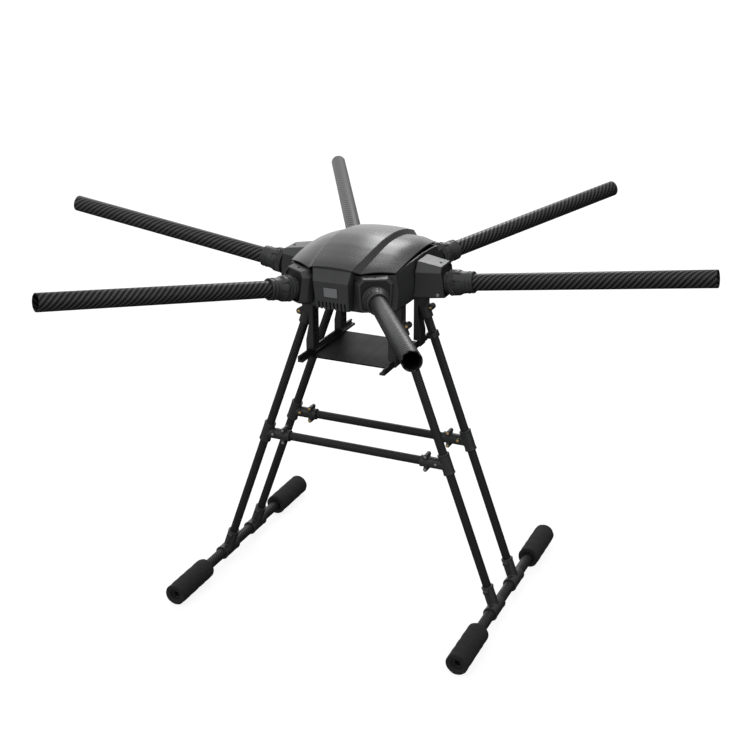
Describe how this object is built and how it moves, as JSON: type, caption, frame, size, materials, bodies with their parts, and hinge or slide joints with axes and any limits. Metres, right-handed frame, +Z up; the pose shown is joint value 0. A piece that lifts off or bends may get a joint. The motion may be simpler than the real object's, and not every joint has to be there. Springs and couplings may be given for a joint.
{
  "type": "hexacopter drone airframe",
  "caption": "Six-arm multirotor airframe with plug-in carbon arms, lift-off canopy, payload tray on rails and tall skid landing gear with foam sleeves.",
  "frame": {"origin": "on the ground, straight below the centre of the body and midway between the skids", "axes": "+Z up; the nose points along -Y; +X is to the right of someone who faces the nose"},
  "size_m": [1.24, 1.0856, 0.6965],
  "materials": {
    "canopy_plastic": "satin black moulded plastic",
    "shell_plastic": "fine-grained black glass-filled nylon",
    "carbon_twill": "lacquered 3K twill carbon tube",
    "carbon_matt": "matt plain-wound carbon tube",
    "black_alloy": "black anodised",
    "foam_rubber": "closed-cell foam skin",
    "circuit_board": "solder mask",
    "label_plate": "blank satin label"
  },
  "bodies": {
    "airframe": {"nose_cover": "shell_plastic", "tail_cover": "shell_plastic", "body_shell": "shell_plastic", "base_plate": "black_alloy", "power_board": "circuit_board", "label_plate": "label_plate", "arm_socket_front_left": "shell_plastic", "arm_socket_left": "shell_plastic", "arm_socket_rear_left": "shell_plastic", "arm_socket_rear_right": "shell_plastic", "arm_socket_right": "shell_plastic", "arm_socket_front_right": "shell_plastic", "payload_rail_left": "black_alloy", "payload_rail_right": "black_alloy", "payload_tray": "black_alloy", "hanger_post_front_left": "shell_plastic", "leg_bracket_front_left": "shell_plastic", "leg_tube_front_left": "carbon_matt", "cross_tee_front_left": "shell_plastic", "skid_tee_front_left": "shell_plastic", "foam_sleeve_front_left": "foam_rubber", "hanger_post_front_right": "shell_plastic", "leg_bracket_front_right": "shell_plastic", "leg_tube_front_right": "carbon_matt", "cross_tee_front_right": "shell_plastic", "skid_tee_front_right": "shell_plastic", "foam_sleeve_front_right": "foam_rubber", "hanger_post_rear_left": "shell_plastic", "leg_bracket_rear_left": "shell_plastic", "leg_tube_rear_left": "carbon_matt", "cross_tee_rear_left": "shell_plastic", "skid_tee_rear_left": "shell_plastic", "foam_sleeve_rear_left": "foam_rubber", "hanger_post_rear_right": "shell_plastic", "leg_bracket_rear_right": "shell_plastic", "leg_tube_rear_right": "carbon_matt", "cross_tee_rear_right": "shell_plastic", "skid_tee_rear_right": "shell_plastic", "foam_sleeve_rear_right": "foam_rubber", "cross_bar_front": "carbon_matt", "cross_bar_rear": "carbon_matt", "skid_tube_left": "carbon_matt", "skid_tube_right": "carbon_matt", "leg_clamp": "shell_plastic"},
    "canopy": {"canopy_centre": "canopy_plastic", "canopy_left": "canopy_plastic", "canopy_right": "canopy_plastic"},
    "arm_front_left": {"arm_tube_front_left": "carbon_twill"},
    "nut_front_left": {"lock_nut_front_left": "shell_plastic"},
    "arm_left": {"arm_tube_left": "carbon_twill"},
    "nut_left": {"lock_nut_left": "shell_plastic"},
    "arm_rear_left": {"arm_tube_rear_left": "carbon_twill"},
    "nut_rear_left": {"lock_nut_rear_left": "shell_plastic"},
    "arm_rear_right": {"arm_tube_rear_right": "carbon_twill"},
    "nut_rear_right": {"lock_nut_rear_right": "shell_plastic"},
    "arm_right": {"arm_tube_right": "carbon_twill"},
    "nut_right": {"lock_nut_right": "shell_plastic"},
    "arm_front_right": {"arm_tube_front_right": "carbon_twill"},
    "nut_front_right": {"lock_nut_front_right": "shell_plastic"}
  },
  "joints": [
    {"name": "canopy_lift", "type": "slide", "parent": "airframe", "child": "canopy", "axis": [0, 0, 1], "range_m": [0, 0.12]},
    {"name": "arm_pull_front_left", "type": "slide", "parent": "airframe", "child": "arm_front_left", "axis": [-0.4951, -0.8576, 0.1392], "range_m": [0, 0.08]},
    {"name": "nut_turn_front_left", "type": "hinge", "parent": "arm_front_left", "child": "nut_front_left", "pos_m": [-0.0916, -0.15866, 0.62055], "axis": [-0.4951, -0.8576, 0.1392], "range_deg": [0, 120]},
    {"name": "arm_pull_left", "type": "slide", "parent": "airframe", "child": "arm_left", "axis": [-0.9903, 0, 0.1392], "range_m": [0, 0.08]},
    {"name": "nut_turn_left", "type": "hinge", "parent": "arm_left", "child": "nut_left", "pos_m": [-0.1832, 0, 0.62055], "axis": [-0.9903, 0, 0.1392], "range_deg": [0, 120]},
    {"name": "arm_pull_rear_left", "type": "slide", "parent": "airframe", "child": "arm_rear_left", "axis": [-0.4951, 0.8576, 0.1392], "range_m": [0, 0.08]},
    {"name": "nut_turn_rear_left", "type": "hinge", "parent": "arm_rear_left", "child": "nut_rear_left", "pos_m": [-0.0916, 0.15866, 0.62055], "axis": [-0.4951, 0.8576, 0.1392], "range_deg": [0, 120]},
    {"name": "arm_pull_rear_right", "type": "slide", "parent": "airframe", "child": "arm_rear_right", "axis": [0.4951, 0.8576, 0.1392], "range_m": [0, 0.08]},
    {"name": "nut_turn_rear_right", "type": "hinge", "parent": "arm_rear_right", "child": "nut_rear_right", "pos_m": [0.0916, 0.15866, 0.62055], "axis": [0.4951, 0.8576, 0.1392], "range_deg": [0, 120]},
    {"name": "arm_pull_right", "type": "slide", "parent": "airframe", "child": "arm_right", "axis": [0.9903, 0, 0.1392], "range_m": [0, 0.08]},
    {"name": "nut_turn_right", "type": "hinge", "parent": "arm_right", "child": "nut_right", "pos_m": [0.1832, 0, 0.62055], "axis": [0.9903, 0, 0.1392], "range_deg": [0, 120]},
    {"name": "arm_pull_front_right", "type": "slide", "parent": "airframe", "child": "arm_front_right", "axis": [0.4951, -0.8576, 0.1392], "range_m": [0, 0.08]},
    {"name": "nut_turn_front_right", "type": "hinge", "parent": "arm_front_right", "child": "nut_front_right", "pos_m": [0.0916, -0.15866, 0.62055], "axis": [0.4951, -0.8576, 0.1392], "range_deg": [0, 120]}
  ]
}
